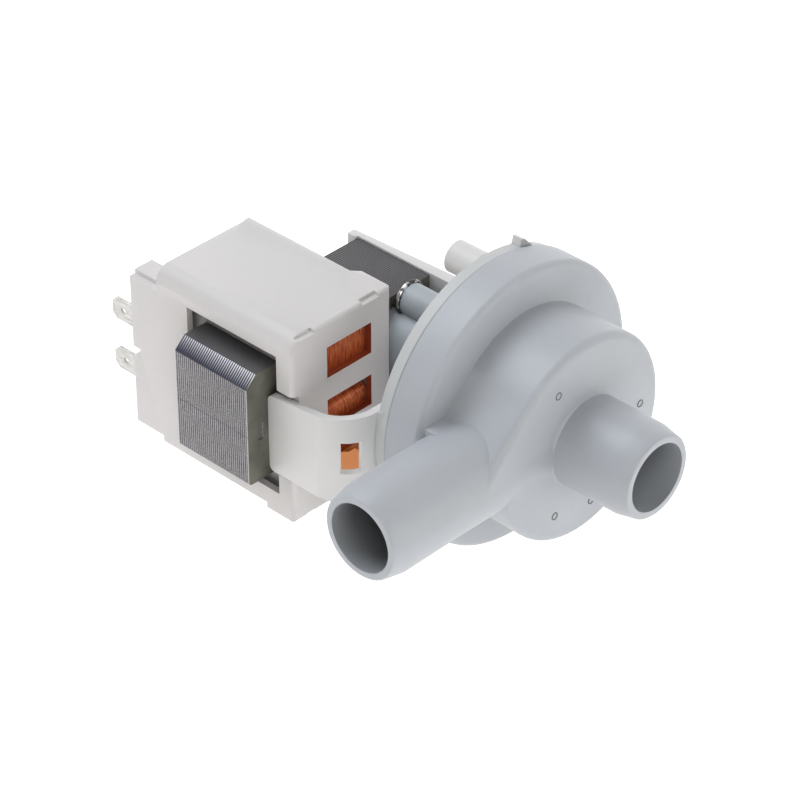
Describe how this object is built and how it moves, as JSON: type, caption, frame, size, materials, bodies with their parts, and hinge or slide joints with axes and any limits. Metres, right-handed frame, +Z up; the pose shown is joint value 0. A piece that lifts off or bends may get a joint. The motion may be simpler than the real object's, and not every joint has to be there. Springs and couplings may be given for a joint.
{
  "type": "drain pump",
  "caption": "Drain pump with a round volute housing, inlet and side outlet spigots, and a magnet-rotor motor with a U-shaped laminated core in an open coil box.",
  "frame": {"origin": "centre of the mouth of the inlet spigot", "axes": "+X out of the inlet along the pump axis, -Y out of the outlet spigot, +Z up, on the side of the upper coil"},
  "size_m": [0.1402, 0.1028, 0.0762],
  "materials": {
    "housing_plastic": "satin",
    "can_plastic": "satin",
    "carrier_plastic": "satin",
    "cover_plastic": "satin",
    "bobbin_plastic": "satin",
    "seal_rubber": "matte",
    "collar_steel": "polished",
    "core_steel": "brushed",
    "coil_copper": "enamelled",
    "tape_film": "satin",
    "protector_case": "matte",
    "tab_metal": "tinned",
    "lead_sleeve": "satin",
    "plate_plastic": "satin",
    "bush_ceramic": "ground",
    "shaft_steel": "ground",
    "magnet_ferrite": "matte",
    "sleeve_plastic": "satin",
    "washer_plastic": "satin",
    "impeller_plastic": "satin"
  },
  "bodies": {
    "pump_body": {"volute_housing": "housing_plastic", "housing_seal": "seal_rubber", "rotor_can": "can_plastic", "post_collars": "collar_steel", "motor_carrier": "carrier_plastic", "stator_core": "core_steel", "coil_cover": "cover_plastic", "upper_bobbin": "bobbin_plastic", "lower_bobbin": "bobbin_plastic", "upper_winding": "coil_copper", "lower_winding": "coil_copper", "upper_winding_turns": "coil_copper", "lower_winding_turns": "coil_copper", "insulating_tape": "tape_film", "thermal_protector": "protector_case", "upper_terminal": "tab_metal", "lower_terminal": "tab_metal", "coil_leads": "lead_sleeve", "bearing_plate": "plate_plastic", "front_bush": "bush_ceramic", "rear_bush": "bush_ceramic", "rear_bush_mount": "seal_rubber"},
    "rotor": {"rotor_shaft": "shaft_steel", "rotor_magnet": "magnet_ferrite", "rotor_sleeve": "sleeve_plastic", "front_thrust_washer": "washer_plastic", "rear_thrust_washer": "washer_plastic", "coupling_dog": "sleeve_plastic", "impeller_clip": "shaft_steel"},
    "impeller": {"impeller": "impeller_plastic"}
  },
  "joints": [
    {"name": "rotor_spin", "type": "hinge", "parent": "pump_body", "child": "rotor", "pos_m": [-0.0943, 0, 0], "axis": [1, 0, 0], "continuous": true},
    {"name": "impeller_lost_motion", "type": "hinge", "parent": "rotor", "child": "impeller", "pos_m": [-0.035, 0, 0], "axis": [1, 0, 0], "range_deg": [-138, 138]}
  ]
}
